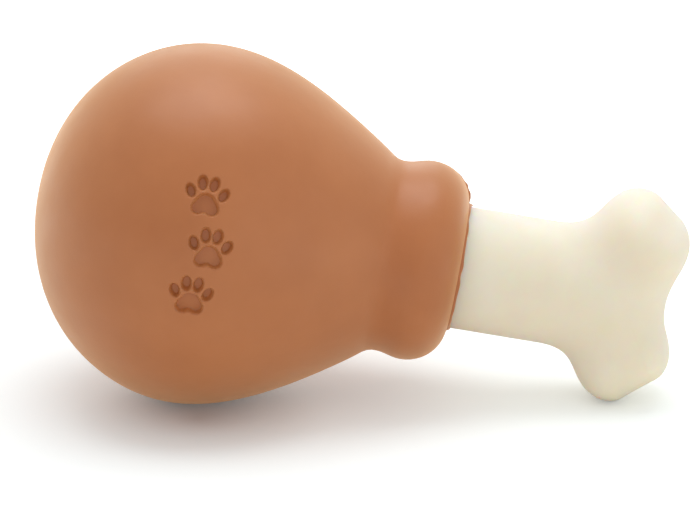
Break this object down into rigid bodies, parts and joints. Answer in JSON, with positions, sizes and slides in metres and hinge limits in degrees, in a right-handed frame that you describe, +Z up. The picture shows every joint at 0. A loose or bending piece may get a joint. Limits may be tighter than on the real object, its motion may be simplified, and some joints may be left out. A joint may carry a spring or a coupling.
{
  "type": "dog chew toy",
  "caption": "Chew toy shaped like a roast drumstick: a hollow brown rubber drumstick with a rolled cuff, gripping the round shank of a cream nylon bone with a knuckle end.",
  "frame": {"origin": "on the surface that the toy lies on, under the middle of its bounding box", "axes": "+X along the toy from the blunt rubber end to the knuckles of the bone, +Z up; the toy's own axis lies in the plane y = 0 and dips towards +X"},
  "size_m": [0.1522, 0.084, 0.083],
  "materials": {
    "rubber": "satin, moulded natural rubber, through coloured",
    "nylon": "satin, injection moulded nylon, slightly translucent"
  },
  "bodies": {
    "bone": {"nylon_bone": "nylon"},
    "drumstick": {"rubber_drumstick": "rubber"}
  },
  "joints": [
    {"name": "drumstick_pull_off", "type": "slide", "parent": "bone", "child": "drumstick", "axis": [-0.987, 0, 0.1608], "range_m": [0, 0.06]}
  ]
}
